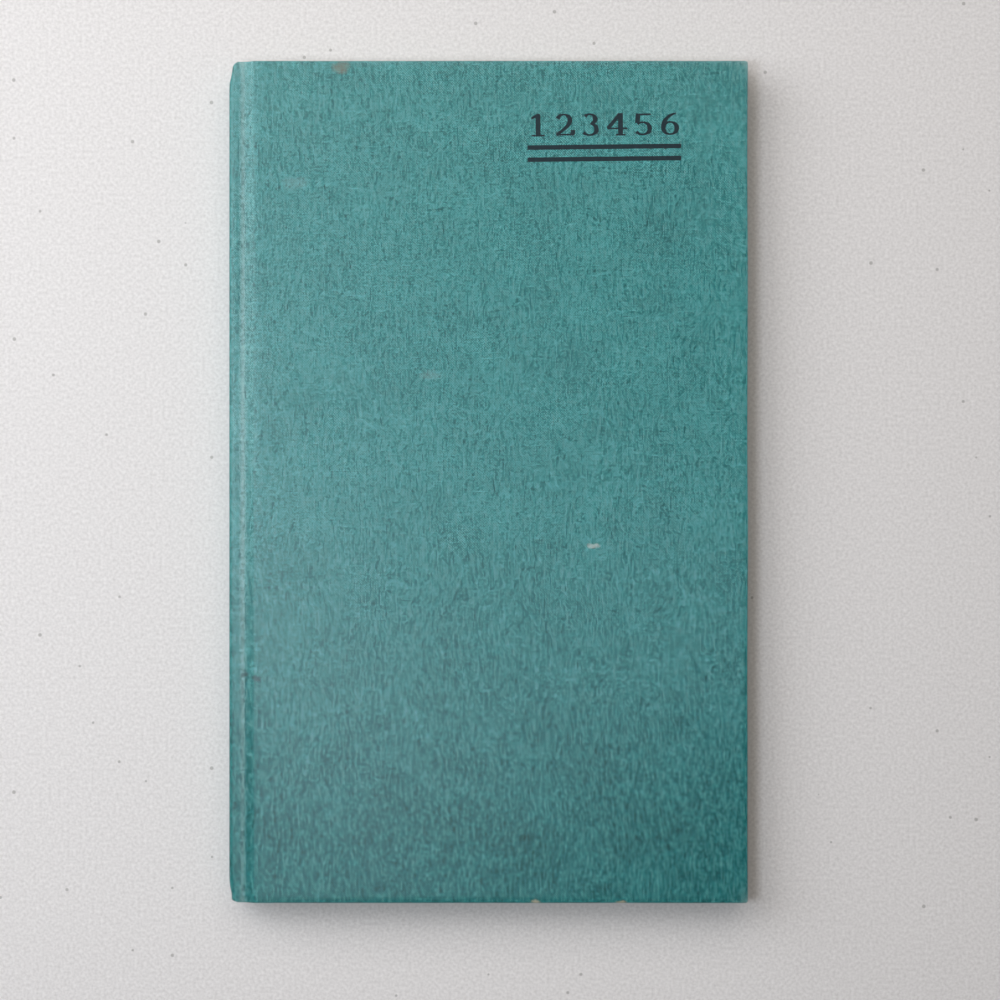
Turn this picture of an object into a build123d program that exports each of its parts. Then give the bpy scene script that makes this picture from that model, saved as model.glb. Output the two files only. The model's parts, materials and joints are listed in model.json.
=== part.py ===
"""A cloth-bound log book: sewn sections of ledger paper in a flat-backed, hollow-backed case.

The closed book lies on its back cover.  +X runs from the spine to the fore-edge, +Y to the head and
+Z out through the front cover.  The origin is under the middle of the closed book.  Inside this file
x is counted from the spine's outer face, and slab() moves it to the middle.  Lengths are in mm.
"""
import os

from build123d import *

# The closed case
cover_width = 184.15
cover_height = 298.45
square = 3.2                # case beyond the leaves at head, tail and fore-edge
corner_radius = 1.2         # worn corners, seen from the front
edge_radius = 0.6           # cloth over the boards' outer edges

# Case materials
board_thickness = 2.2
cloth_thickness = 0.35
endpaper_thickness = 0.15
turn_in = 15.0              # cloth folded over the boards' inner faces
spine_inlay_thickness = 1.0
spine_roll = 1.6            # outer radius of the cloth where the spine turns to the joint

# Joints between the spine and the boards
joint_line = 4.2            # spine's outer face to each hinge axis
joint_gap = 0.05            # from a hinge axis to the solids on each side of it
open_board_gap = 0.3        # board to spine when a cover is folded right back

# Text block
section_count = 9
leaves_per_section = 8
leaf_thickness = 0.125
turning_leaves = 4          # first leaves of the first section that turn by themselves
press_gap = 0.02            # air between sections, and between leaves
cover_gap = 0.05            # air between a pastedown and its flyleaf
hollow_back = 0.25          # between the case's spine and the lined text block
fold_rounding = 0.45        # share of a section's thickness that its folded edge is rounded by
tip_on = 6.6                # width of each flyleaf's strip pasted to its section
crease_step = 0.6           # each deeper leaf creases this much further from the fold

# Sewing and lining
tape_width = 12.0
tape_thickness = 0.2
tape_pitch = 78.0
tape_count = 3
slip_length = 19.0          # tape glued to each board
thread_diameter = 0.32
stitch_overhang = 1.2       # stitch beyond each edge of a tape
leg_slimness = 0.8          # thread is pulled thinner where it enters a fold
kettle_inset = 3.0          # last stitch to the end of the mull
mull_thickness = 0.15
mull_flange = 25.0          # mull glued to each board
mull_end_gap = 2.0          # mull to the cloth's turn-in
liner_thickness = 0.2
layer_gap = 0.02

# Head and tail bands
band_radius = 0.7
band_tab_height = 8.0
band_tab_thickness = 0.2

# Pastedowns
pastedown_margin = 4.0      # turn-in left showing round a pastedown
panel_gap = 0.5             # flange or turn-in to the pastedown's raised panel

# Stamped double rule on the front cover
rule_length = 54.5
rule_width = 1.6
rule_pitch = 4.3
rule_from_head = 30.4       # head edge to the middle of the upper rule
rule_from_fore_edge = 23.6
rule_tilt = 0.65            # degrees, stamped slightly askew
foil_thickness = 0.04
stamp_depth = 0.06
stamp_clearance = 0.02

# Worked out from the sizes above
lining_depth = max(cloth_thickness, mull_thickness + tape_thickness)   # under each board
case_thickness = cloth_thickness + board_thickness + lining_depth + endpaper_thickness
hinge_inset = case_thickness / 2 + joint_gap / 2       # cover's outer face to its hinge axis
joint_face = hinge_inset + joint_gap                   # cover's outer face to the joint's cloth
board_start = 2 * joint_line + open_board_gap + cloth_thickness
section_thickness = leaves_per_section * leaf_thickness
first_section_thickness = section_thickness + turning_leaves * press_gap
block_thickness = (
    first_section_thickness + (section_count - 1) * (section_thickness + press_gap)
)
flyleaf_room = cover_gap + endpaper_thickness + press_gap
thickness = 2 * case_thickness + 2 * flyleaf_room + block_thickness
half_height = cover_height / 2
leaf_half = half_height - square
fore_edge = cover_width - square
turn_in_half = half_height - turn_in
mull_half = turn_in_half - mull_end_gap
block_top = thickness - case_thickness - flyleaf_room
block_bottom = case_thickness + flyleaf_room

# Spine layers, from the outside in
inlay_start = cloth_thickness
spine_turn_start = inlay_start + spine_inlay_thickness
liner_start = spine_turn_start + cloth_thickness + hollow_back
mull_start = liner_start + liner_thickness
thread_start = mull_start + mull_thickness + layer_gap
tape_start = thread_start + thread_diameter + layer_gap
fold_line = tape_start + tape_thickness + layer_gap
flyleaf_crease = fold_line + tip_on

# Heights of the layers under the front board, counted down from the cover's outer face
board_face = cloth_thickness
board_back = board_face + board_thickness
mull_back = board_back + mull_thickness
turn_in_back = board_back + cloth_thickness
slip_back = mull_back + tape_thickness
lining_back = board_back + lining_depth
joint_cloth_back = joint_face + cloth_thickness
joint_turn_back = joint_cloth_back + cloth_thickness
mid_plane = Plane.XY.offset(thickness / 2)
tape_rows = [(i - (tape_count - 1) / 2) * tape_pitch for i in range(tape_count)]


def slab(x0, x1, half, z0, z1, middle=0.0):
    """A box from x0 to x1 and z0 to z1, reaching half each way along Y from its middle."""
    centre = ((x0 + x1 - cover_width) / 2, middle, (z0 + z1) / 2)
    return Pos(*centre) * Box(x1 - x0, 2 * half, z1 - z0)


def under_front(x0, x1, half, depth0, depth1, middle=0.0):
    """A slab between two depths below the front cover's outer face."""
    return slab(x0, x1, half, thickness - depth1, thickness - depth0, middle)


def ends(x0, x1, inner, outer, z0, z1):
    """Two slabs, at the head and at the tail."""
    middle = (inner + outer) / 2
    half = (outer - inner) / 2
    return slab(x0, x1, half, z0, z1, middle) + slab(x0, x1, half, z0, z1, -middle)


def at_back(piece):
    """The same piece on the back cover's side."""
    return mirror(piece, about=mid_plane)


def group(pieces):
    """Several separate solids kept in one node."""
    solids = [solid for piece in pieces for solid in piece.solids()]
    return Compound(children=solids)


def fore_corners(piece, radius):
    """Round the two corners on the fore-edge."""
    return fillet(piece.edges().filter_by(Axis.Z).group_by(Axis.X)[-1], radius)


# Boards, covered with one piece of cloth that is split along the hinge lines
def front_board():
    board = under_front(
        board_start,
        cover_width - cloth_thickness,
        half_height - cloth_thickness,
        board_face,
        board_back,
    )
    board = fore_corners(board, corner_radius - cloth_thickness)
    return fillet(board.faces().sort_by(Axis.Z)[-1].edges(), edge_radius - cloth_thickness)


def front_cloth():
    board_wrap = board_start - cloth_thickness
    cloth = under_front(board_wrap, cover_width, half_height, 0, turn_in_back)
    cloth = fore_corners(cloth, corner_radius)
    cloth = fillet(cloth.faces().sort_by(Axis.Z)[-1].edges(), edge_radius)
    strip_start = joint_line + joint_gap
    strip = (strip_start, board_start)
    cloth += under_front(*strip, half_height, joint_face, joint_cloth_back)
    layers = (thickness - joint_turn_back, thickness - joint_face)
    cloth += ends(*strip, turn_in_half, half_height, *layers)
    open_back = turn_in_back + 1
    cloth -= under_front(board_wrap - 1, board_start, turn_in_half, joint_cloth_back, open_back)
    cloth -= under_front(board_wrap - 1, cover_width - turn_in, turn_in_half, board_back, open_back)
    return cloth - front_board()


def title_rule(row, length, width, depth0, depth1):
    """One rule of the pair, counted down from the upper one."""
    centre_x = cover_width / 2 - rule_from_fore_edge - rule_length / 2
    centre_y = half_height - rule_from_head
    place = Pos(centre_x, centre_y, thickness - (depth0 + depth1) / 2) * Rot(0, 0, rule_tilt)
    return place * Pos(0, -row * rule_pitch, 0) * Box(length, width, depth1 - depth0)


def stamped_cloth():
    cloth = front_cloth()
    for row in range(2):
        length = rule_length + 2 * stamp_clearance
        width = rule_width + 2 * stamp_clearance
        cloth -= title_rule(row, length, width, -1, stamp_depth)
    return cloth


def title_rules():
    foil = (stamp_depth - foil_thickness, stamp_depth)
    return group([title_rule(row, rule_length, rule_width, *foil) for row in range(2)])


# Endpapers: pastedown on the board, a folded strip on the section, and the flyleaf
def front_pastedown():
    far = cover_width - pastedown_margin
    half = half_height - pastedown_margin
    back = lining_back + endpaper_thickness
    sheet = under_front(joint_line + joint_gap, far, half, lining_back, back)
    panel_start = board_start + mull_flange + panel_gap
    panel_end = cover_width - turn_in - panel_gap
    panel_half = turn_in_half - panel_gap
    wall = endpaper_thickness
    sheet += under_front(panel_start, panel_end, panel_half, board_back, back)
    sheet -= under_front(
        panel_start + wall, panel_end - wall, panel_half - wall, board_back + wall, back + 1
    )
    return sheet


def front_endpaper_fold():
    flyleaf_back = case_thickness + cover_gap + endpaper_thickness
    joint_end = joint_line - joint_gap
    upper = under_front(fold_line, joint_end, leaf_half, lining_back, case_thickness)
    fold_end = fold_line + endpaper_thickness
    bend = under_front(fold_line, fold_end, leaf_half, lining_back, flyleaf_back)
    leaf_side = flyleaf_back - endpaper_thickness
    lower = under_front(fold_line, flyleaf_crease, leaf_half, leaf_side, flyleaf_back)
    return upper + bend + lower


def front_flyleaf():
    top = case_thickness + cover_gap
    start = flyleaf_crease + layer_gap
    return under_front(start, fore_edge, leaf_half, top, top + endpaper_thickness)


# Text block
def leaf_top(number):
    """Depth of a turning leaf's upper face below the front cover's outer face."""
    return case_thickness + flyleaf_room + (number - 1) * (leaf_thickness + press_gap)


def leaf_crease(number):
    return flyleaf_crease + number * crease_step


def turning_leaf(number):
    top = leaf_top(number)
    start = leaf_crease(number) + layer_gap
    return under_front(start, fore_edge, leaf_half, top, top + leaf_thickness)


def folded_section(z0, z1):
    """A section of folded sheets, with its fold rounded."""
    block = slab(fold_line, fore_edge, leaf_half, z0, z1)
    fold_edges = block.edges().filter_by(Axis.Y).group_by(Axis.X)[0]
    return fillet(fold_edges, fold_rounding * (z1 - z0))


def first_section():
    """The first section keeps only the creased stubs of the leaves that turn."""
    section = folded_section(block_top - first_section_thickness, block_top)
    for number in range(1, turning_leaves + 1):
        back = leaf_top(number) + leaf_thickness + press_gap
        section -= under_front(leaf_crease(number), fore_edge + 1, leaf_half + 1, 0, back)
    return section


def section_middle(number):
    """Height of the middle of a section, with the first on top."""
    if number == 1:
        return block_top - first_section_thickness / 2
    below = number - 2
    top = block_top - first_section_thickness - press_gap - below * (section_thickness + press_gap)
    return top - section_thickness / 2


def section(number):
    if number == 1:
        return first_section()
    middle = section_middle(number)
    return folded_section(middle - section_thickness / 2, middle + section_thickness / 2)


# Sewing, tapes, mull and liner
def stitch(number, row):
    """One pass of thread out of a section, over a tape and back in."""
    reach = tape_width / 2 + stitch_overhang
    radius = thread_diameter / 2
    x = thread_start + radius - cover_width / 2
    z = section_middle(number)
    run = Pos(x, row, z) * Rot(90, 0, 0) * Cylinder(radius, 2 * reach)
    leg_end = fold_line - cover_width / 2
    leg_length = leg_end - x
    leg = Rot(0, 90, 0) * Cylinder(leg_slimness * radius, leg_length)
    for side in (-1, 1):
        run += Pos(x + leg_length / 2, row + side * (reach - 2 * radius), z) * leg
    return run


def kettle(side):
    """Thread that links the sections to each other near the head or the tail."""
    radius = thread_diameter / 2
    x = thread_start + radius - cover_width / 2
    top = section_middle(1)
    bottom = section_middle(section_count)
    middle = (top + bottom) / 2
    return Pos(x, side * (mull_half - kettle_inset), middle) * Cylinder(radius, top - bottom)


def sewing_thread():
    stitches = [stitch(n + 1, row) for n in range(section_count) for row in tape_rows]
    return group(stitches + [kettle(-1), kettle(1)])


def round_the_back(start, wall, outer, half, middle=0.0):
    """A strip round the text block's spine, from one hinge line to the other."""
    end = joint_line - joint_gap
    strip = slab(start, end, half, outer, thickness - outer, middle)
    inside = outer + wall
    return strip - slab(start + wall, end + 1, half + 1, inside, thickness - inside, middle)


def sewing_tapes():
    half = tape_width / 2
    outer = mull_back
    strips = [round_the_back(tape_start, tape_thickness, outer, half, row) for row in tape_rows]
    return group(strips)


def mull_spine():
    return round_the_back(mull_start, mull_thickness, board_back, mull_half)


def front_mull_flange():
    end = board_start + mull_flange
    return under_front(joint_line + joint_gap, end, mull_half, board_back, mull_back)


def front_tape_slips():
    start = joint_line + joint_gap
    end = board_start + slip_length
    half = tape_width / 2
    return group([under_front(start, end, half, mull_back, slip_back, row) for row in tape_rows])


def spine_liner():
    return slab(liner_start, mull_start, leaf_half, block_bottom, block_top)


def band(side):
    """A rolled band across the end of the folds, with its tab glued to them."""
    tab_end = fold_line - layer_gap
    middle = side * (leaf_half - band_tab_height / 2 + band_radius / 2)
    half = (band_tab_height + band_radius) / 2
    tab = slab(tab_end - band_tab_thickness, tab_end, half, block_bottom, block_top, middle)
    x = tab_end - band_tab_thickness + band_radius - cover_width / 2
    y = side * (leaf_half + layer_gap + band_radius)
    bead = Cylinder(band_radius, block_top - block_bottom)
    return tab + Pos(x, y, thickness / 2) * bead


# The case's spine
def spine_inlay():
    half = half_height - cloth_thickness
    low = joint_face + spine_roll
    return slab(inlay_start, spine_turn_start, half, low, thickness - low)


def spine_cloth():
    """Cloth from one hinge line round the spine to the other, turned in at head and tail."""
    end = joint_line - joint_gap
    cloth = slab(0, end, half_height, joint_face, thickness - joint_face)
    rolls = cloth.edges().filter_by(Axis.Y).group_by(Axis.X)[0]
    cloth = fillet(rolls, spine_roll)
    inside = joint_cloth_back
    cavity = slab(cloth_thickness, end + 1, turn_in_half, inside, thickness - inside)
    inner_rolls = cavity.edges().filter_by(Axis.Y).group_by(Axis.X)[0]
    cavity = fillet(inner_rolls, spine_roll - cloth_thickness)
    hollow = joint_turn_back
    hollow_start = spine_turn_start + cloth_thickness
    cloth -= slab(hollow_start, end + 1, half_height + 1, hollow, thickness - hollow)
    return cloth - cavity - spine_inlay()


nodes = {
    "front_board": front_board(),
    "cover_cloth_front": stamped_cloth(),
    "title_rules": title_rules(),
    "front_pastedown": front_pastedown(),
    "mull_front_flange": front_mull_flange(),
    "front_tape_slips": front_tape_slips(),
    "back_board": at_back(front_board()),
    "cover_cloth_back": at_back(front_cloth()),
    "back_pastedown": at_back(front_pastedown()),
    "mull_back_flange": at_back(front_mull_flange()),
    "back_tape_slips": group([at_back(solid) for solid in front_tape_slips().solids()]),
    "cover_cloth_spine": spine_cloth(),
    "spine_inlay": spine_inlay(),
    "front_endpaper_fold": front_endpaper_fold(),
    "back_endpaper_fold": at_back(front_endpaper_fold()),
    "front_flyleaf": front_flyleaf(),
    "back_flyleaf": at_back(front_flyleaf()),
    "sewing_thread": sewing_thread(),
    "sewing_tapes": sewing_tapes(),
    "mull_spine": mull_spine(),
    "spine_liner": spine_liner(),
    "headband": band(1),
    "tailband": band(-1),
}
for number in range(1, turning_leaves + 1):
    nodes[f"leaf_{number}"] = turning_leaf(number)
for number in range(1, section_count + 1):
    nodes[f"section_{number}"] = section(number)

os.makedirs("parts", exist_ok=True)
for name, piece in nodes.items():
    export_step(piece, f"parts/{name}.step")

axis_x = joint_line - cover_width / 2
print(f"closed book {cover_width} x {cover_height} x {thickness:.3f}")
print(f"front hinge x {axis_x:.3f} z {thickness - hinge_inset:.3f}")
print(f"back hinge x {axis_x:.3f} z {hinge_inset:.3f}")
flyleaf_z = thickness - case_thickness - cover_gap
print(f"flyleaf hinge x {flyleaf_crease - cover_width / 2:.3f} z {flyleaf_z:.3f}")
for number in range(1, turning_leaves + 1):
    x = leaf_crease(number) - cover_width / 2
    print(f"leaf_{number} hinge x {x:.3f} z {thickness - leaf_top(number):.3f}")
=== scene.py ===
# %% [markdown]
# # A cloth-bound log book
# A hardback record book: two boards and a spine card covered with one piece of teal book cloth, and
# nine sewn sections of ledger paper inside.  The engineering model is already packed, so the first
# cell loads it, and everything later is placed from its boxes.  All lengths are in metres.

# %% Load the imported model
import json
import math
import random

import bmesh
import bpy
from mathutils import Matrix, Vector, noise


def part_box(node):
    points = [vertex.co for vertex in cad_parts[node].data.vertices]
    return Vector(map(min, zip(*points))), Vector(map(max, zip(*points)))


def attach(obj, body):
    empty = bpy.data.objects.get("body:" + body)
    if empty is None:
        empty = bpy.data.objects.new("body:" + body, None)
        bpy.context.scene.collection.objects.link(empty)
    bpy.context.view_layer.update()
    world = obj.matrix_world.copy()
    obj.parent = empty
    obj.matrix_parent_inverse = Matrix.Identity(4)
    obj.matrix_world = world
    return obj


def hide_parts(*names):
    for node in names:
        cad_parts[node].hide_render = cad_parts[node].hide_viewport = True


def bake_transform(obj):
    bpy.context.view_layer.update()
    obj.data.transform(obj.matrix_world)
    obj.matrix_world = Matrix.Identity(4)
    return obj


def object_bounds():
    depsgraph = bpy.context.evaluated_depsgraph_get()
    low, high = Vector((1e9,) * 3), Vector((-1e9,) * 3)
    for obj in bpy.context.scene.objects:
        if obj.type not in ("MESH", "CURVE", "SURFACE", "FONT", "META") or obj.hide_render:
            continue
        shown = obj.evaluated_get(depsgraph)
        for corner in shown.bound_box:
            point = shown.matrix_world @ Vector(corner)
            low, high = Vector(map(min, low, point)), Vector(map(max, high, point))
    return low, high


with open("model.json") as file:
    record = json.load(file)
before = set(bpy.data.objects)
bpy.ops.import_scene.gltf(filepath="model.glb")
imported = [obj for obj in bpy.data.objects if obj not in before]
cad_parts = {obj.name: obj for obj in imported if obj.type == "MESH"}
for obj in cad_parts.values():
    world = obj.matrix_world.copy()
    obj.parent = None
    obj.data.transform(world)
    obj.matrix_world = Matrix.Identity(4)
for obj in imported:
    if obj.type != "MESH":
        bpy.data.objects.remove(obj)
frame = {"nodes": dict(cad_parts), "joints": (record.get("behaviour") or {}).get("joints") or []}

MM = 0.001
cad_low, cad_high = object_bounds()
print("closed book", [round(v / MM, 2) for v in cad_high - cad_low], "mm")

# %% [markdown]
# ## Places
# The pieces that are remade here take their places from the nodes that they stand for: the cloth
# from the cloth's boxes, the papers from theirs, and the hinge lines from the joints.

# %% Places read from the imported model
cloth_low, cloth_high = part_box("cover_cloth_front")
spine_low, spine_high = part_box("cover_cloth_spine")
board_low, board_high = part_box("front_board")
inlay_low, inlay_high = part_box("spine_inlay")
paste_low, paste_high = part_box("front_pastedown")
flange_low, flange_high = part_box("mull_front_flange")
hinges = {joint["child"]: Vector(joint["pos_m"]) for joint in frame["joints"]}

spine_x = spine_low.x
fore_x = cloth_high.x
half_height = cloth_high.y
top_z = cloth_high.z
middle_z = (cad_low.z + cad_high.z) / 2
joint_z = spine_high.z
cloth_thickness = cloth_high.z - board_high.z
wall_depth = cloth_high.z - cloth_low.z
turned_x = inlay_high.x + cloth_thickness
turn_in = 15 * MM
rules_low, rules_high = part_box("title_rules")
title_centre = Vector(((rules_low + rules_high) / 2).xy)
title_reach = (rules_high.x - rules_low.x) / 2
print("joint is", round((top_z - joint_z) / MM, 2), "mm below the cover's face")

# %% [markdown]
# ## Small helpers
# Colours are written as sRGB hex, as a paint chart gives them, and Blender's nodes want linear
# values, so one function turns them.  A second adds a shader node with its settings and links.

# %% Colour and node helpers
def colour(code):
    """Linear RGBA from an sRGB hex code."""
    channels = [int(code[i : i + 2], 16) / 255 for i in (1, 3, 5)]
    linear = [c / 12.92 if c <= 0.04045 else ((c + 0.055) / 1.055) ** 2.4 for c in channels]
    return (*linear, 1.0)


def add(tree, kind, inputs=None, **settings):
    """Add one shader node, set it up, and set or link its inputs."""
    node = tree.nodes.new(kind)
    for name, value in settings.items():
        setattr(node, name, value)
    for name, value in (inputs or {}).items():
        if isinstance(value, bpy.types.NodeSocket):
            tree.links.new(value, node.inputs[name])
        else:
            node.inputs[name].default_value = value
    return node


def start_material(name, roughness, specular=0.5, ior=1.5):
    """A material with one Principled shader, whose plain numbers are on its own sockets."""
    material = bpy.data.materials.new(name)
    material.use_nodes = True
    shader = material.node_tree.nodes["Principled BSDF"]
    shader.inputs["Roughness"].default_value = roughness
    shader.inputs["Specular IOR Level"].default_value = specular
    shader.inputs["IOR"].default_value = ior
    return material, material.node_tree, shader


print("a middle grey is", round(colour("#808080")[0], 3), "in linear light")

# %% [markdown]
# ## From a bmesh to a piece
# Every piece is shaped as a bmesh, in place, and then turned into an object that stays at the origin.
# A sheet such as cloth or paper is modelled as a single layer, and a Solidify modifier gives it its
# thickness.  The result is kept as its mesh, because a mesh that bends at a joint has to be final.

# %% Making pieces
SHARP_ANGLE = math.radians(40)     # edges that turn more than this are shaded as creases


def piece_from(bm, name, material):
    """A finished object at the origin, with its place in its mesh."""
    mesh = bpy.data.meshes.new(name)
    bm.to_mesh(mesh)
    bm.free()
    mesh.shade_smooth()
    mesh.set_sharp_from_angle(angle=SHARP_ANGLE)
    mesh.materials.append(material)
    piece = bpy.data.objects.new(name, mesh)
    bpy.context.scene.collection.objects.link(piece)
    return piece


def give_thickness(piece, thickness, offset):
    """Turn a sheet into a closed shell, and keep the result as its mesh."""
    shell = piece.modifiers.new("thickness", "SOLIDIFY")
    shell.thickness = thickness
    shell.offset = offset
    view = bpy.context.evaluated_depsgraph_get()
    mesh = bpy.data.meshes.new_from_object(piece.evaluated_get(view))
    mesh.set_sharp_from_angle(angle=SHARP_ANGLE)
    piece.modifiers.clear()
    piece.data = mesh
    return piece


def lay_out(bm):
    """A UV map in metres, laid flat along whichever way each face looks."""
    layer = bm.loops.layers.uv.new("UVMap")
    for face in bm.faces:
        n = face.normal
        across = max(range(3), key=lambda k: abs(n[k]))
        for loop in face.loops:
            co = loop.vert.co
            loop[layer].uv = ((co.z, co.y), (co.x, co.z), (co.x, co.y))[across]


print("edges over", round(math.degrees(SHARP_ANGLE)), "degrees are sharp")

# %% [markdown]
# ## The camera
# The book is seen from straight above, through a lens long enough to show little of its sides.  The
# camera is a little to the right of the book's middle and below it, so that the book sits slightly
# up and to the left.

# %% Camera
FRAME_WIDTH = 354.5 * MM      # width of the view at the height of the front cover
LENS = 85.0                   # focal length and sensor width, as a camera gives them, in mm
SENSOR = 36.0
OFF_MIDDLE = (4.26 * MM, -6.4 * MM)
camera_data = bpy.data.cameras.new("overhead_camera")
camera_data.lens = LENS
camera_data.sensor_width = SENSOR
camera = bpy.data.objects.new("overhead_camera", camera_data)
camera.location = (*OFF_MIDDLE, top_z + FRAME_WIDTH * LENS / SENSOR)
bpy.context.scene.collection.objects.link(camera)
bpy.context.scene.camera = camera
print("camera height", round(camera.location.z, 3), "m")

# %% [markdown]
# ## The table
# The book lies on a pale laminate whose surface is pressed with a fine pebble.  The pebble only
# shows as a soft grain, so a bump from two noises is enough, and no geometry is needed.  Voronoi
# cells would put a speck in each cell, so most of them are left out by each cell's own colour.

# %% Table material: pressed, finely pebbled laminate
PEBBLE_SCALE = 900.0          # pebbles about 1.1 mm wide
table_material, tree, shader = start_material("pebbled_laminate", roughness=0.62, specular=0.3)
place = add(tree, "ShaderNodeTexCoord").outputs["Object"]
grain = add(tree, "ShaderNodeTexNoise", {"Vector": place, "Scale": PEBBLE_SCALE, "Detail": 3.0})
broad = add(tree, "ShaderNodeTexNoise", {"Vector": place, "Scale": 60.0, "Detail": 2.0})
tone = add(tree, "ShaderNodeMix", {0: grain.outputs["Fac"], 6: colour("#C6C2BF"), 7: colour("#F8F5F3")},
           data_type="RGBA")
specks = add(tree, "ShaderNodeTexVoronoi", {"Vector": place, "Scale": 210.0, "Randomness": 1.0})
near = add(tree, "ShaderNodeMath", {0: specks.outputs["Distance"], 1: 0.14}, operation="LESS_THAN")
chosen = add(tree, "ShaderNodeSeparateColor", {0: specks.outputs["Color"]})
few = add(tree, "ShaderNodeMath", {0: chosen.outputs[0], 1: 0.06}, operation="LESS_THAN")
speck = add(tree, "ShaderNodeMath", {0: near.outputs[0], 1: few.outputs[0]}, operation="MULTIPLY")
faint = add(tree, "ShaderNodeMath", {0: speck.outputs[0], 1: 0.55}, operation="MULTIPLY")
speckled = add(tree, "ShaderNodeMix", {0: faint.outputs[0], 6: tone.outputs[2], 7: colour("#8B8782")},
               data_type="RGBA")
tree.links.new(speckled.outputs[2], shader.inputs["Base Color"])
height = add(tree, "ShaderNodeMath", {0: grain.outputs["Fac"], 1: broad.outputs["Fac"]}, operation="ADD")
bump = add(tree, "ShaderNodeBump", {"Height": height.outputs[0], "Strength": 0.35, "Distance": 0.25 * MM})
tree.links.new(bump.outputs[0], shader.inputs["Normal"])
print("pebbles are", round(1 / PEBBLE_SCALE / MM, 1), "mm wide")

# %% Table top
TABLE_SIZE = 6.0
bm = bmesh.new()
bmesh.ops.create_grid(bm, x_segments=1, y_segments=1, size=TABLE_SIZE / 2)
table = piece_from(bm, "table_top", table_material)
print("table top", TABLE_SIZE, "m wide")

# %% [markdown]
# ## Light
# A big soft window stands to the left, a little above the book's middle, and the room's pale walls
# fill the rest.  The window is low enough to graze the cloth, which gives the weave its relief.

# %% Window light and room light
def soft_light(name, place, size, energy, tint, aim=(0.0, 0.0, 0.0)):
    """A rectangular area light that faces aim."""
    data = bpy.data.lights.new(name, "AREA")
    data.shape = "RECTANGLE"
    data.size, data.size_y = size
    data.energy = energy
    data.color = colour(tint)[:3]
    lamp = bpy.data.objects.new(name, data)
    lamp.location = place
    lamp.rotation_euler = (Vector(aim) - Vector(place)).to_track_quat("-Z", "Y").to_euler()
    bpy.context.scene.collection.objects.link(lamp)


soft_light("window", (-0.74, 0.28, 0.62), (0.7, 0.8), 6.0, "#F6FAFF")
soft_light("upper_pane", (-0.25, -0.055, 0.95), (0.16, 0.20), 2.5, "#EAF3FF")
soft_light("ceiling", (-0.05, 0.70, 1.0), (1.3, 0.9), 5.8, "#FFF8F2")

ROOM_LIGHT = 0.17             # strength of the light that comes back from the walls
world = bpy.data.worlds.new("room")
world.use_nodes = True
world.node_tree.nodes["Background"].inputs[0].default_value = colour("#FFFAF6")
world.node_tree.nodes["Background"].inputs[1].default_value = ROOM_LIGHT
bpy.context.scene.world = world
bpy.context.scene.view_settings.view_transform = "Standard"
print("three soft lights, and a room at", ROOM_LIGHT)

# %% [markdown]
# ## Book cloth
# Book cloth is a starched plain-weave cotton, dyed teal, with the odd thick thread, or slub, in both
# directions.  The weave is drawn from the cloth's own UV map, which is in metres, so it stays with
# the cloth when a cover opens.  The threads are 0.44 mm apart, and seen from here each is hardly
# wider than a grain, so each thread also has a shade of its own.  Handling rubs dye from the raised
# places, which the "wear" attribute marks, and the same attribute holds a painted sheen.  Painted
# shade darkens the weft crossings and the weave's hollows, and a painted sheen pales the cloth from
# the tail to the middle.

# %% Book cloth material
THREAD_PITCH = 0.44 * MM
CLOTH_DARK = "#014442"
CLOTH_MIDDLE = "#0E7A7B"
CLOTH_LIGHT = "#4FB8B6"
# Pale rubbed cloth; the painted sheen that the wear attribute holds is drawn in it too
CLOTH_WORN_AND_SHEEN = "#9DBDBA"


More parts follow.
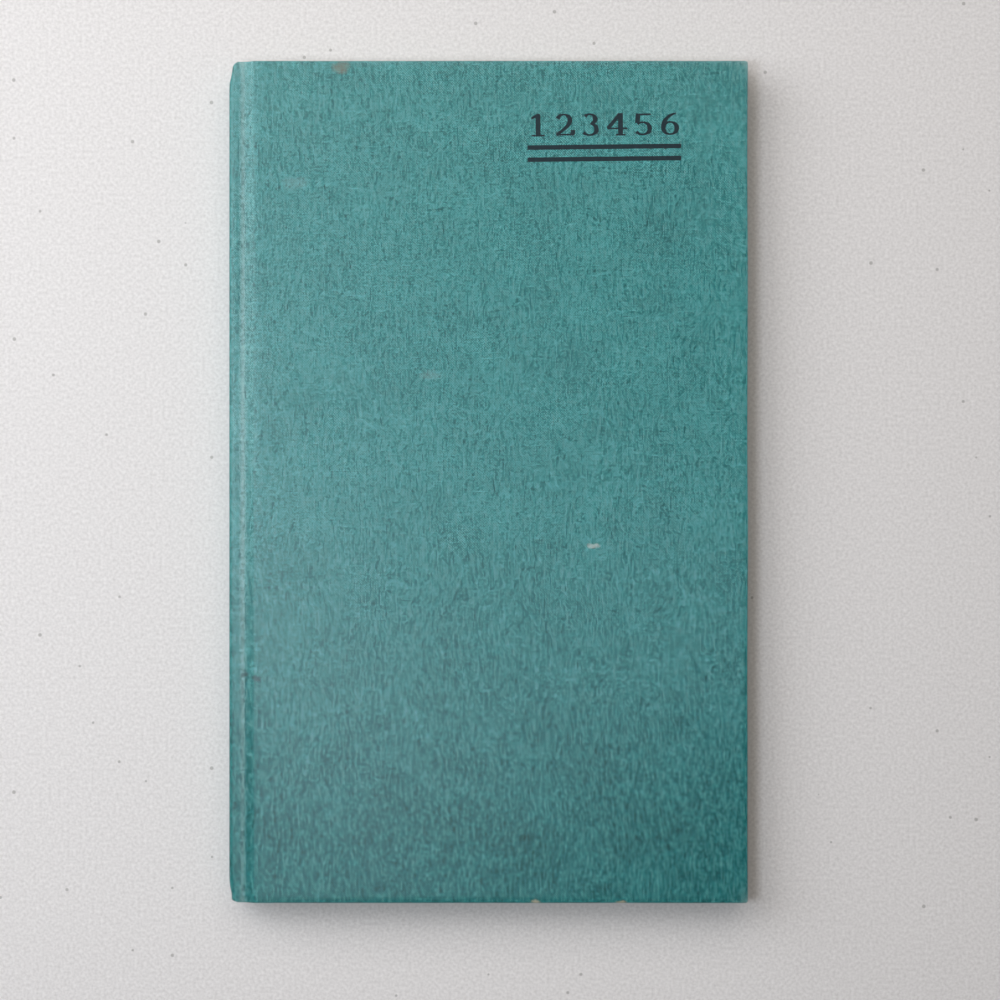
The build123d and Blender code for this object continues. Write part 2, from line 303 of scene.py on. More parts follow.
def book_cloth(name, marks=()):
    """Starched plain-weave cotton.  A mark is x, y, half width, half height in mm, tint, strength."""
    material, tree, shader = start_material(name, roughness=0.23, specular=0.6)
    shader.inputs["Sheen Weight"].default_value = 0.04
    shader.inputs["Sheen Roughness"].default_value = 0.4
    shader.inputs["Sheen Tint"].default_value = colour("#D5EEF0")
    flat = add(tree, "ShaderNodeUVMap", uv_map="UVMap").outputs[0]

    # Threads never run quite straight, so the weave's coordinates wander a little, over centimetres
    wander = add(tree, "ShaderNodeTexNoise", {"Vector": flat, "Scale": 45.0, "Detail": 0.0})
    shift = add(tree, "ShaderNodeVectorMath", {0: wander.outputs["Color"], 1: (0.3 * THREAD_PITCH,) * 3},
                operation="MULTIPLY")
    moved = add(tree, "ShaderNodeVectorMath", {0: flat, 1: shift.outputs[0]}, operation="ADD")
    threads = add(tree, "ShaderNodeVectorMath", {0: moved.outputs[0], 1: (1 / THREAD_PITCH,) * 3},
                  operation="MULTIPLY")
    axes = add(tree, "ShaderNodeSeparateXYZ", {0: threads.outputs[0]})
    heights, shades, rows = [], [], []
    for across, along, start in ((0, 1, 0.0), (1, 0, 0.5)):
        # Each thread is round, and goes over and under the ones that it crosses
        cell = add(tree, "ShaderNodeMath", {0: axes.outputs[across]}, operation="FRACT")
        turn = add(tree, "ShaderNodeMath", {0: cell.outputs[0], 1: math.pi}, operation="MULTIPLY")
        ridge = add(tree, "ShaderNodeMath", {0: turn.outputs[0]}, operation="SINE")
        row = add(tree, "ShaderNodeMath", {0: axes.outputs[across]}, operation="FLOOR")
        rows.append(row.outputs[0])
        step = add(tree, "ShaderNodeMath", {0: axes.outputs[along], 1: row.outputs[0]}, operation="ADD")
        half = add(tree, "ShaderNodeMath", {0: step.outputs[0], 1: 0.5, 2: start}, operation="MULTIPLY_ADD")
        angle = add(tree, "ShaderNodeMath", {0: half.outputs[0], 1: 2 * math.pi}, operation="MULTIPLY")
        wave = add(tree, "ShaderNodeMath", {0: angle.outputs[0]}, operation="COSINE")
        over = add(tree, "ShaderNodeMath", {0: wave.outputs[0], 1: 0.4, 2: 0.6}, operation="MULTIPLY_ADD")
        thread = add(tree, "ShaderNodeMath", {0: ridge.outputs[0], 1: over.outputs[0]}, operation="MULTIPLY")
        heights.append(thread.outputs[0])
        # No thread is shaded like its neighbour, and each changes along its slubs, a few mm long
        strand = add(tree, "ShaderNodeMath", {0: row.outputs[0], 1: 7.37 + start}, operation="MULTIPLY")
        slow = add(tree, "ShaderNodeMath", {0: axes.outputs[along], 1: 0.09}, operation="MULTIPLY")
        spot = add(tree, "ShaderNodeCombineXYZ", {0: strand.outputs[0], 1: slow.outputs[0], 2: start})
        slub = add(tree, "ShaderNodeTexNoise", {"Vector": spot.outputs[0], "Scale": 1.0, "Detail": 3.0,
                   "Roughness": 0.7})
        shades.append(slub.outputs["Fac"])
    weave = add(tree, "ShaderNodeMath", {0: heights[0], 1: heights[1]}, operation="MAXIMUM")
    warp_on_top = add(tree, "ShaderNodeMath", {0: heights[0], 1: heights[1]}, operation="GREATER_THAN")
    # Weft-topped crossings are drawn darker than warp-topped ones: painted shade, for the light that the two
    # catch differently.
    weft_shade = add(tree, "ShaderNodeMath", {0: shades[1], 1: 0.6, 2: 0.0}, operation="MULTIPLY_ADD")
    shade = add(tree, "ShaderNodeMix", {0: warp_on_top.outputs[0], 2: weft_shade.outputs[0], 3: shades[0]})

    # Every crossing takes the dye a little differently; lint, starch and broad faint clouds add to it
    crossing = add(tree, "ShaderNodeCombineXYZ", {0: rows[0], 1: rows[1]})
    grain = add(tree, "ShaderNodeTexWhiteNoise", {"Vector": crossing.outputs[0]})
    lint = add(tree, "ShaderNodeTexNoise", {"Vector": flat, "Scale": 2000.0, "Detail": 3.0})
    cloud = add(tree, "ShaderNodeTexNoise", {"Vector": flat, "Scale": 38.0, "Detail": 5.0, "Roughness": 0.7})
    grainy = add(tree, "ShaderNodeMath", {0: grain.outputs["Value"], 1: 0.22, 2: shade.outputs[0]},
                 operation="MULTIPLY_ADD")
    thready = add(tree, "ShaderNodeMath", {0: lint.outputs["Fac"], 1: 0.4, 2: grainy.outputs[0]},
                  operation="MULTIPLY_ADD")
    # That is a guess, made because the lights alone didn't give this change.  The dye is drawn paler
    # from the tail to the middle: a painted sheen, put in because the lights alone didn't give this
    # change, so the cloth keeps it in even light too.  The dye is drawn paler from the tail to the
    # middle, as if faded.
    level = add(tree, "ShaderNodeSeparateXYZ", {0: flat})
    painted_sheen = add(tree, "ShaderNodeMapRange", {0: level.outputs[1], 1: -0.13, 2: 0.0, 3: -0.045, 4: 0.05})
    clouded = add(tree, "ShaderNodeMath", {0: cloud.outputs["Fac"], 1: 0.16, 2: thready.outputs[0]},
                  operation="MULTIPLY_ADD")
    mottle_and_painted_light = add(tree, "ShaderNodeMath", {0: clouded.outputs[0], 1: painted_sheen.outputs[0]}, operation="ADD")
    tones = add(tree, "ShaderNodeMapRange", {"Value": mottle_and_painted_light.outputs[0], "From Min": 0.60, "From Max": 0.99})
    # The colour below holds painted light: the painted sheen and the darker weft crossings.
    dye_and_painted_light = add(tree, "ShaderNodeValToRGB", {0: tones.outputs[0]})
    ramp = dye_and_painted_light.color_ramp
    ramp.elements[0].color = colour(CLOTH_DARK)
    ramp.elements[1].color = colour(CLOTH_LIGHT)
    ramp.elements.new(0.5).color = colour(CLOTH_MIDDLE)
    # The colour is darkened in the weave's hollows and lightened on its crowns: painted shade and highlight.
    depth = add(tree, "ShaderNodeMapRange", {"Value": weave.outputs[0], "From Min": 0.25, "From Max": 0.95,
                "To Min": 0.55, "To Max": 1.22})
    shaded = add(tree, "ShaderNodeVectorMath", {0: dye_and_painted_light.outputs[0], 3: depth.outputs[0]}, operation="SCALE")

    # Wear and the painted sheen with it are broken up by the same mottling, so that rubbed places are ragged
    rubbed = add(tree, "ShaderNodeAttribute", attribute_name="wear_and_sheen").outputs["Fac"]
    ragged = add(tree, "ShaderNodeMath", {0: mottle_and_painted_light.outputs[0], 1: 0.9, 2: rubbed}, operation="MULTIPLY_ADD")
    worn_and_sheen = add(tree, "ShaderNodeMapRange", {"Value": ragged.outputs[0], "From Min": 0.90, "From Max": 1.75,
               "To Max": 0.85})
    current = add(tree, "ShaderNodeMix", {0: worn_and_sheen.outputs[0], 6: shaded.outputs[0], 7: colour(CLOTH_WORN_AND_SHEEN)},
                  data_type="RGBA")
    fray = add(tree, "ShaderNodeTexNoise", {"Vector": flat, "Scale": 420.0, "Detail": 3.0})
    for x, y, wide, high, tint, strength in marks:
        torn = add(tree, "ShaderNodeVectorMath", {0: fray.outputs["Color"], 1: (2.6 * MM,) * 3,
                   2: (-(x + 1.3) * MM, -(y + 1.3) * MM, 0)}, operation="MULTIPLY_ADD")
        offset = add(tree, "ShaderNodeVectorMath", {0: flat, 1: torn.outputs[0]}, operation="ADD")
        scaled = add(tree, "ShaderNodeVectorMath", {0: offset.outputs[0],
                     1: (1 / (wide * MM), 1 / (high * MM), 0)}, operation="MULTIPLY")
        far = add(tree, "ShaderNodeVectorMath", {0: scaled.outputs[0]}, operation="LENGTH")
        share = add(tree, "ShaderNodeMapRange", {"Value": far.outputs["Value"], "From Min": 1.15,
                    "From Max": 0.55, "To Min": 0.0, "To Max": strength})
        current = add(tree, "ShaderNodeMix", {0: share.outputs[0], 6: current.outputs[2], 7: colour(tint)},
                      data_type="RGBA")
    tree.links.new(current.outputs[2], shader.inputs["Base Color"])
    relief = add(tree, "ShaderNodeMath", {0: shade.outputs[0], 1: 0.8, 2: weave.outputs[0]},
                 operation="MULTIPLY_ADD")
    bump = add(tree, "ShaderNodeBump", {"Height": relief.outputs[0], "Strength": 0.5, "Distance": 0.08 * MM})
    tree.links.new(bump.outputs[0], shader.inputs["Normal"])
    return material


# Pale chip, head stain, two dark nicks, two faint light patches, two frayed spots at the tail
FRONT_MARKS = (
    (37.3, -22.7, 2.2, 0.9, "#9DB8B2", 0.6),
    (-52.2, 147.0, 3.4, 2.4, "#6B6A5A", 0.6),
    (-86.3, -68.3, 1.6, 1.1, "#1F4548", 0.8),
    (-82.4, -69.6, 1.8, 0.9, "#1F4548", 0.75),
    (-68.5, 105.9, 5.0, 2.2, "#7FAFB0", 0.16),
    (-20.6, 37.9, 3.6, 1.8, "#86B3B3", 0.16),
    (17.0, -148.9, 1.8, 0.8, "#A8A58F", 0.9),
    (47.2, -149.0, 1.6, 0.7, "#A8A58F", 0.9),
)
BACK_MARKS = ((30.0, 60.0, 5.0, 2.0, "#8FB3B1", 0.6),)
front_cloth_material = book_cloth("teal_book_cloth_front", FRONT_MARKS)
back_cloth_material = book_cloth("teal_book_cloth_back", BACK_MARKS)
print("threads in the cover's width", round((fore_x - spine_x) / THREAD_PITCH))

# %% [markdown]
# ## Covering the case
# The cloth is cut in one piece, glued over the boards and the spine card, and turned in at the
# edges.  Half of it is made here: the case's outline is bevelled like a bent wire, swept from tail
# to head, and its edge is pulled down round the boards and folded in.  Because both halves meet at
# the middle of the spine, the joint between them isn't seen.

# %% Outline of half the case
STEP_END = board_low.x - spine_x - 0.1 * MM     # spine's outer face to the board's edge
GROOVE_START = STEP_END - 3.0 * MM               # and to the foot of the slope up to it
PANEL_STEP = 2.4 * MM         # size of the faces on the board
outline_points = (
    (spine_x, middle_z),
    (spine_x, joint_z),
    (spine_x + GROOVE_START, joint_z),
    (spine_x + STEP_END, top_z),
    (fore_x, top_z),
)
ROUNDING = ((1, 1.6 * MM, 6), (2, 1.2 * MM, 4), (3, 0.7 * MM, 3))   # corner, radius, segments
print("the slope up to the board is", round((STEP_END - GROOVE_START) / MM, 1), "mm wide")


def swept_outline():
    """The half case as an open sheet, from tail to head."""
    bm = bmesh.new()
    corners = [bm.verts.new((x, -half_height, z)) for x, z in outline_points]
    for here, there in zip(corners, corners[1:]):
        bm.edges.new((here, there))
    for index, radius, steps in ROUNDING:
        bmesh.ops.bevel(bm, geom=[corners[index]], offset=radius, offset_type="OFFSET", segments=steps,
                        profile=0.5, affect="VERTICES", material=-1)
    for edge in list(bm.edges):
        cuts = int(edge.calc_length() / PANEL_STEP)
        if cuts:
            bmesh.ops.subdivide_edges(bm, edges=[edge], cuts=cuts)
    steps = round(2 * half_height / PANEL_STEP)
    bmesh.ops.spin(bm, geom=bm.verts[:] + bm.edges[:], cent=(0, 0, 0), axis=(0, 1, 0),
                   dvec=(0, 2 * half_height / steps, 0), angle=0, steps=steps)
    bmesh.ops.recalc_face_normals(bm, faces=bm.faces)
    if max(bm.faces, key=lambda f: f.calc_center_median().z).normal.z < 0:
        bmesh.ops.reverse_faces(bm, faces=bm.faces)
    return bm


# %% [markdown]
# ## Walls and turn-ins
# A bookbinder pulls the cloth round the board's edge and glues 15 mm of it down inside.  Extruding
# the sheet's open edge does the same: once down the wall, and once more inwards, with the corners
# mitred.  The folds are bevelled last, because starched cloth never folds quite sharp.

# %% Walls and turn-ins
CORNER_RADIUS = 0.9 * MM      # seen from above
FOLD_RADIUS = 0.34 * MM
TOUCHING = 0.01 * MM


def behind(co):
    """Where the cloth's edge goes when it's pulled down round the board or the spine card."""
    if co.z > joint_z + 0.05 * MM:
        share = (co.z - joint_z) / (top_z - joint_z)
        strip_depth = 2 * cloth_thickness
        return Vector((co.x, co.y, co.z - strip_depth - share * (wall_depth - strip_depth)))
    return Vector((max(co.x, turned_x), co.y, min(co.z, joint_z - 2 * cloth_thickness)))


def rim_edges(bm):
    """The sheet's open edges, apart from the one along the middle of the spine."""
    open_edges = [edge for edge in bm.edges if edge.is_boundary]
    return [e for e in open_edges if any(abs(v.co.z - middle_z) > 0.1 * MM for v in e.verts)]


def pull_edge(bm, place_of):
    """Extrude the rim, and move the new edge where place_of says."""
    grown = bmesh.ops.extrude_edge_only(bm, edges=rim_edges(bm))["geom"]
    for item in grown:
        if isinstance(item, bmesh.types.BMVert):
            item.co = place_of(item.co)


def folded_in(co):
    """Where the edge ends, a turn-in's width inside the case, mitred at the corners."""
    limit = half_height - turn_in
    return Vector((min(co.x, fore_x - turn_in), max(-limit, min(limit, co.y)), co.z))


def covered_half():
    bm = swept_outline()
    pull_edge(bm, behind)
    corner_edges = [e for e in bm.edges if all(v.co.x > fore_x - TOUCHING for v in e.verts)
                    and all(abs(v.co.y) > half_height - TOUCHING for v in e.verts)]
    bmesh.ops.bevel(bm, geom=corner_edges, offset=CORNER_RADIUS, offset_type="OFFSET", segments=3,
                    profile=0.5, affect="EDGES", material=-1)
    pull_edge(bm, folded_in)
    bmesh.ops.remove_doubles(bm, verts=bm.verts, dist=2 * TOUCHING)
    bm.normal_update()
    sharp = [e for e in bm.edges if e.is_manifold and e.calc_face_angle() > math.radians(55)]
    bmesh.ops.bevel(bm, geom=sharp, offset=FOLD_RADIUS, offset_type="OFFSET", segments=3,
                    profile=0.5, affect="EDGES", material=-1, clamp_overlap=True)
    bmesh.ops.remove_doubles(bm, verts=bm.verts, dist=TOUCHING)
    bm.normal_update()
    return bm


print("the cloth is turned in by", round(turn_in / MM), "mm")


# %% [markdown]
# ## Age
# A used book is never flat and sharp.  The boards bow a little, the spine's ends are bumped, the
# corners are soft, and the cloth is rubbed where it's handled.  Every point is moved a little by a
# smooth noise, and the same positions give the "wear" attribute that the cloth's material reads.
# That attribute also holds a painted sheen, paler towards the middle of the cover near the spine.

# %% Bumps, wear and a painted sheen
BUMPED_END = 9.0 * MM         # length of the bumped part of the spine at head and tail
CAP_PUSHED = 1.2 * MM         # how far a bump has pushed the spine's end inwards
CAP_LOWERED = 1.3 * MM        # and shortened it
BOARD_BOW = 0.10 * MM
JOINT_RIPPLE = 0.16 * MM
FORE_WAVE = 0.18 * MM         # how far the edges stray from straight
END_WAVE = 0.16 * MM


def smooth_step(low, high, value):
    share = max(0.0, min(1.0, (value - low) / (high - low)))
    return share * share * (3 - 2 * share)


def age_shape(bm):
    for vert in bm.verts:
        co = vert.co
        from_spine = co.x - spine_x
        on_panel = smooth_step(STEP_END, STEP_END + 4 * MM, from_spine)
        outside = smooth_step(top_z - 1.0 * MM, top_z, co.z)
        broad = noise.noise(Vector((co.x * 16, co.y * 16, 0.0)))
        fine = noise.noise(Vector((co.x * 90, co.y * 90, 3.0)))
        in_title = 1 - smooth_step(0.0, 12 * MM, (Vector(co.xy) - title_centre).length - title_reach)
        lift = outside * on_panel * (1 - in_title) * BOARD_BOW * (broad + 0.35 * fine)
        joint = (1 - on_panel) * smooth_step(1.5 * MM, 4 * MM, from_spine)
        ripple = noise.noise(Vector((co.x * 200, co.y * 38, 7.0)))
        lift += joint * JOINT_RIPPLE * (ripple + 0.5 * broad)
        edge_wave = noise.noise(Vector((co.y * 22, co.x * 22, 11.0)))
        near_fore = smooth_step(fore_x - 3 * MM, fore_x, co.x)
        near_end = smooth_step(half_height - 3 * MM, half_height, abs(co.y))
        co.x += near_fore * edge_wave * FORE_WAVE
        co.y += math.copysign(near_end * edge_wave * END_WAVE, co.y)
        end = smooth_step(half_height - BUMPED_END, half_height, abs(co.y))
        cap = end * (1 - smooth_step(0.0, 3.2 * MM, from_spine))
        at_head = 1.0 if co.y > 0 else 0.65
        pinch = 1 + 0.5 * noise.noise(Vector((co.y * 420, co.z * 300, 5.0)))
        co.x += cap * at_head * CAP_PUSHED * pinch
        co.y -= math.copysign(cap * at_head * CAP_LOWERED, co.y)
        co.z += lift - cap * 0.25 * MM * pinch


def age_wear_and_sheen(piece):
    """How rubbed each point is, from 0 to 1, with a painted sheen added near the spine at the middle."""
    mesh = piece.data
    rubbed = mesh.attributes.new("wear_and_sheen", "FLOAT", "POINT")
    values = []
    for vert in mesh.vertices:
        co = vert.co
        from_spine = co.x - spine_x
        ridge = math.exp(-(((from_spine - 4.9 * MM) / (1.0 * MM)) ** 2))
        in_groove = smooth_step(3.8 * MM, 5.2 * MM, from_spine)
        groove = in_groove * (1 - smooth_step(8.2 * MM, 9.2 * MM, from_spine))
        fore = math.exp(-(fore_x - co.x) / (0.8 * MM))
        ends = math.exp(-(half_height - abs(co.y)) / (0.8 * MM))
        corner = math.exp(-math.hypot(fore_x - co.x, half_height - abs(co.y)) / (3.5 * MM))
        cap = math.exp(-(half_height - abs(co.y)) / (6 * MM)) * math.exp(-from_spine / (3 * MM))
        # A painted sheen, paler towards the middle of the cover near the spine, is added to the wear.
        middle = math.exp(-((co.y / (95 * MM)) ** 2)) * math.exp(-from_spine / (30 * MM))
        value = 0.30 * ridge + 0.10 * groove + 0.22 * fore + 0.16 * ends + 0.45 * corner + 0.4 * cap
        values.append(min(1.0, value + 0.10 * middle))
    rubbed.data.foreach_set("value", values)


print("the spine is bumped over", round(BUMPED_END / MM), "mm at each end")


# %% [markdown]
# ## Front and back cloth
# The back half is the front half mirrored in the book's middle.

# %% Front and back cloth
def cover_with_cloth(name, material, at_front):
    bm = covered_half()
    age_shape(bm)
    if not at_front:
        bmesh.ops.scale(bm, vec=(1, 1, -1), verts=bm.verts)
        bmesh.ops.translate(bm, vec=(0, 0, 2 * middle_z), verts=bm.verts)
        bmesh.ops.reverse_faces(bm, faces=bm.faces)
    bm.normal_update()
    lay_out(bm)
    piece = give_thickness(piece_from(bm, name, material), cloth_thickness, -1.0)
    age_wear_and_sheen(piece)
    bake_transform(piece)
    print(name, len(piece.data.polygons), "faces")
    return piece


front_cloth = cover_with_cloth("front_book_cloth", front_cloth_material, True)
back_cloth = cover_with_cloth("back_book_cloth", back_cloth_material, False)
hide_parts("cover_cloth_front", "cover_cloth_spine")
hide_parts("cover_cloth_back", "cover_cloth_spine")

# %% [markdown]
# ## Paper
# The leaves are a smooth, faintly toned ledger paper, machine-ruled in pale blue and red, and the
# endpapers are a thicker plain one.  Both have yellowed from their edges inwards and foxed a little.
# A ruling machine's pens draw lines about 0.3 mm wide, 8 mm apart, and they are drawn that wide.

# %% Paper materials
LINE_WIDTH = 0.32 * MM
RULE_PITCH = 8.0 * MM
COLUMN_RULES = (-66.0, -44.0, -18.0, 8.0, 26.0, 44.0, 62.0)     # x of the red column rules, mm
HEADER_RULES = (118.0, 119.2, 131.0)                            # y of the header's rules, mm
page_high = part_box("leaf_1")[1]


def paper(name, tint, old_tint, ruled, stacked=False):
    material, tree, shader = start_material(name, roughness=0.78, specular=0.3)
    flat = add(tree, "ShaderNodeUVMap", uv_map="UVMap").outputs[0]
    fibre = add(tree, "ShaderNodeTexNoise", {"Vector": flat, "Scale": 1400.0, "Detail": 3.0})
    cloud = add(tree, "ShaderNodeTexNoise", {"Vector": flat, "Scale": 26.0, "Detail": 5.0})
    axes = add(tree, "ShaderNodeSeparateXYZ", {0: flat})
    size_y = add(tree, "ShaderNodeMath", {0: axes.outputs[1]}, operation="ABSOLUTE")
    near_end = add(tree, "ShaderNodeMapRange", {0: size_y.outputs[0], 1: page_high.y - 22 * MM,
                   2: page_high.y, 3: 0.0, 4: 0.35})
    near_fore = add(tree, "ShaderNodeMapRange", {0: axes.outputs[0], 1: page_high.x - 22 * MM,
                    2: page_high.x, 3: 0.0, 4: 0.35})
    edge = add(tree, "ShaderNodeMath", {0: near_end.outputs[0], 1: near_fore.outputs[0]}, operation="MAXIMUM")
    toned = add(tree, "ShaderNodeMath", {0: cloud.outputs["Fac"], 1: 0.7, 2: edge.outputs[0]},
                operation="MULTIPLY_ADD")
    age = add(tree, "ShaderNodeMapRange", {0: toned.outputs[0], 1: 0.25, 2: 1.1})
    page = add(tree, "ShaderNodeMix", {0: age.outputs[0], 6: colour(tint), 7: colour(old_tint)},
               data_type="RGBA")
    # Foxing: a few cells of a 14 mm pattern hold a brown spot
    spots = add(tree, "ShaderNodeTexVoronoi", {"Vector": flat, "Scale": 70.0})
    chance = add(tree, "ShaderNodeSeparateColor", {0: spots.outputs["Color"]})
    rare = add(tree, "ShaderNodeMath", {0: chance.outputs[0], 1: 0.05}, operation="LESS_THAN")
    round_spot = add(tree, "ShaderNodeMapRange", {0: spots.outputs["Distance"], 1: 0.12, 2: 0.02,
                     3: 0.0, 4: 0.5})
    fox = add(tree, "ShaderNodeMath", {0: rare.outputs[0], 1: round_spot.outputs[0]}, operation="MULTIPLY")
    current = add(tree, "ShaderNodeMix", {0: fox.outputs[0], 6: page.outputs[2], 7: colour("#A98B5C")},
                  data_type="RGBA")
    if ruled:
        rows = add(tree, "ShaderNodeMath", {0: axes.outputs[1], 1: RULE_PITCH}, operation="PINGPONG")
        on_row = add(tree, "ShaderNodeMath", {0: rows.outputs[0], 1: LINE_WIDTH / 2}, operation="LESS_THAN")
        first_row = HEADER_RULES[0] * MM - RULE_PITCH / 2
        below = add(tree, "ShaderNodeMath", {0: axes.outputs[1], 1: first_row}, operation="LESS_THAN")
        feint = add(tree, "ShaderNodeMath", {0: on_row.outputs[0], 1: below.outputs[0]}, operation="MULTIPLY")
        ink = add(tree, "ShaderNodeMath", {0: feint.outputs[0], 1: 0.7}, operation="MULTIPLY")
        current = add(tree, "ShaderNodeMix", {0: ink.outputs[0], 6: current.outputs[2],
                      7: colour("#93AEC4")}, data_type="RGBA")
        for axis, places in ((0, COLUMN_RULES), (1, HEADER_RULES)):
            for place_mm in places:
                line = add(tree, "ShaderNodeMath", {0: axes.outputs[axis], 1: place_mm * MM,
                           2: LINE_WIDTH / 2}, operation="COMPARE")
                ink = add(tree, "ShaderNodeMath", {0: line.outputs[0], 1: 0.75}, operation="MULTIPLY")
                current = add(tree, "ShaderNodeMix", {0: ink.outputs[0], 6: current.outputs[2],
                              7: colour("#BE8079")}, data_type="RGBA")
    if stacked:
        # Sheets differ a little, so a trimmed edge is streaked along the leaves.  One leaf is too thin
        # to show, so a streak is drawn about three leaves wide.
        place = add(tree, "ShaderNodeTexCoord").outputs["Object"]
        squeezed = add(tree, "ShaderNodeMapping", {"Vector": place, "Scale": (25.0, 25.0, 2600.0)})
        streak = add(tree, "ShaderNodeTexNoise", {"Vector": squeezed.outputs[0], "Scale": 1.0, "Detail": 2.0})
        dark = add(tree, "ShaderNodeMapRange", {0: streak.outputs["Fac"], 1: 0.42, 2: 0.68, 3: 0.0, 4: 0.55})
        current = add(tree, "ShaderNodeMix", {0: dark.outputs[0], 6: current.outputs[2],
                      7: colour("#B3A482")}, data_type="RGBA")
    tree.links.new(current.outputs[2], shader.inputs["Base Color"])
    bump = add(tree, "ShaderNodeBump", {"Height": fibre.outputs["Fac"], "Strength": 0.25,
               "Distance": 0.05 * MM})
    tree.links.new(bump.outputs[0], shader.inputs["Normal"])
    return material


ledger_material = paper("ruled_ledger_paper", "#F2EEE2", "#E3D9BF", ruled=True)
section_material = paper("stacked_ledger_paper", "#EFEADC", "#DDD2B5", ruled=True, stacked=True)
endpaper_material = paper("endpaper_stock", "#ECE7DA", "#DACEB0", ruled=False)
print("three papers, ruled", round(RULE_PITCH / MM), "mm apart")

# %% [markdown]
# ## Leaves
# A leaf is a flat grid, ruled or plain.

# %% Turning leaves and flyleaf
LEAF_THICKNESS = 0.11 * MM
LEAF_GRID = 4 * MM
TRIM = 0.25 * MM              # most that one leaf is trimmed shorter than another


def paper_grid(low, high, spacing):
    """A flat grid over the box's plan, at the middle of its thickness."""
    bm = bmesh.new()
    bmesh.ops.create_grid(bm, x_segments=max(2, round((high.x - low.x) / spacing)),
                          y_segments=max(2, round((high.y - low.y) / spacing)), size=0.5)
    bmesh.ops.scale(bm, vec=(high.x - low.x, high.y - low.y, 1), verts=bm.verts)
    bmesh.ops.translate(bm, vec=(low + high) / 2, verts=bm.verts)
    return bm


def finish_paper(bm, name, material, thickness):
    bm.normal_update()
    lay_out(bm)
    piece = give_thickness(piece_from(bm, name, material), thickness, 0.0)
    return piece


turning = {"front_flyleaf": endpaper_material}
turning.update({f"leaf_{number}": ledger_material for number in range(1, 5)})
chance = random.Random(7)
for node, material in turning.items():
    low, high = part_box(node)
    high.x -= chance.uniform(0.0, TRIM)
    sheet_piece = finish_paper(paper_grid(low, high, LEAF_GRID), node + "_paper", material, LEAF_THICKNESS)
    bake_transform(sheet_piece)
    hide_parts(node)
print("turning leaves", list(turning))

# %% [markdown]
# ## Sewn sections
# Each section is four sheets folded together, so it has eight leaves.  A sheet's outline is a point
# spun half a turn for the fold, whose two ends are drawn out to the fore-edge.  The outline is then
# swept from tail to head.  No two sheets are trimmed quite alike, and the fore-edge fans a little.
# The first section's upper leaves are the turning ones, so its sheets stop at their creases.

# %% Folded sheets
SHEETS = 4
SHEET_THICKNESS = 0.1 * MM
leaf_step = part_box("leaf_1")[1].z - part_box("leaf_2")[1].z
creases = [hinges[f"leaf_{number}"].x for number in range(1, SHEETS + 1)]
section_names = sorted(name for name in frame["nodes"] if name.startswith("section_"))


def folded_sheet(bm, fold_x, low_z, high_z, low_end, high_end, half_length):
    """Adds one folded sheet: a half-turn fold whose two ends are drawn out to the fore-edge."""
    radius = (high_z - low_z) / 2
    centre = Vector((fold_x + radius, -half_length, (low_z + high_z) / 2))
    seed = bmesh.ops.create_vert(bm, co=centre + Vector((0, 0, radius)))["vert"]
    arc = bmesh.ops.spin(bm, geom=seed, cent=centre, axis=(0, 1, 0), angle=-math.pi, steps=8)["geom_last"]
    tip = next(item for item in arc if isinstance(item, bmesh.types.BMVert))
    for vert, end in ((seed[0], high_end), (tip, low_end)):
        for share in (0.5, 1.0):
            new = bmesh.ops.extrude_vert_indiv(bm, verts=[vert])["verts"][0]
            new.co.x = centre.x + (end - centre.x) * share
            vert = new
    wire = [v for v in bm.verts if abs(v.co.y + half_length) < 0.001 * MM]
    edges = [e for e in bm.edges if not e.link_faces]
    steps = 14
    bmesh.ops.spin(bm, geom=wire + edges, cent=(0, 0, 0), axis=(0, 1, 0),
                   dvec=(0, 2 * half_length / steps, 0), angle=0, steps=steps)


def section_sheets(name, order):
    low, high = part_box(name)
    first = order == 0
    deep = high.z - low.z
    upper_step = leaf_step if first else deep / (2 * SHEETS)
    lower_step = deep / SHEETS - leaf_step if first else upper_step
    trim = random.Random(100 + order)
    bm = bmesh.new()
    for sheet in range(SHEETS):
        one = bmesh.new()
        high_z = high.z - (sheet + 0.45) * upper_step
        low_z = low.z + (sheet + 0.5) * lower_step
        ends = [high.x - trim.uniform(0.0, 0.45) * MM for side in range(2)]
        if first:
            ends[1] = creases[sheet]
        folded_sheet(one, low.x + sheet * lower_step, low_z, high_z, ends[0], ends[1],
                     high.y - trim.uniform(0.0, 0.3) * MM)
        bmesh.ops.recalc_face_normals(one, faces=one.faces)
        for vert in one.verts:
            fan = smooth_step(high.x - 25 * MM, high.x, vert.co.x)
            vert.co.z += fan * 0.05 * MM * noise.noise(Vector((vert.co.y * 14, order, sheet)))
        part = bpy.data.meshes.new("sheet")
        one.to_mesh(part)
        one.free()
        bm.from_mesh(part)
        bpy.data.meshes.remove(part)
    piece = finish_paper(bm, name + "_sheets", section_material, SHEET_THICKNESS)
    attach(piece, "text_block")
    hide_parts(name)
    return piece


section_pieces = [section_sheets(name, order) for order, name in enumerate(section_names)]
print(len(section_pieces), "sections of", 2 * SHEETS, "leaves")

# %% [markdown]
# ## Pastedowns
# The endpaper's other half is pasted inside the cover.  Paper pasted over steps shows them softly:
# the turned-in cloth, the gauze hinge and the ends of the sewing tapes.  The heights come from the
# same boxes as those layers.

# %% Ghosts of the layers below
slip_low, slip_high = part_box("front_tape_slips")
PASTE_THICKNESS = 0.13 * MM
SOFT = 2.0 * MM               # width over which the paper climbs a step
PASTE_GRID = 1.6 * MM
TAPE_WIDTH = 12 * MM
JOINT_START = spine_x + 4.1 * MM
tape_rows = (slip_low.y + TAPE_WIDTH / 2, 0.0, slip_high.y - TAPE_WIDTH / 2)
flange_depth = board_low.z - flange_low.z
slip_depth = flange_low.z - slip_low.z
turn_in_depth = board_low.z - cloth_low.z


def inside(value, low, high):
    """1 between low and high, falling softly to 0 outside."""
    return smooth_step(low - SOFT, low, value) * (1 - smooth_step(high, high + SOFT, value))


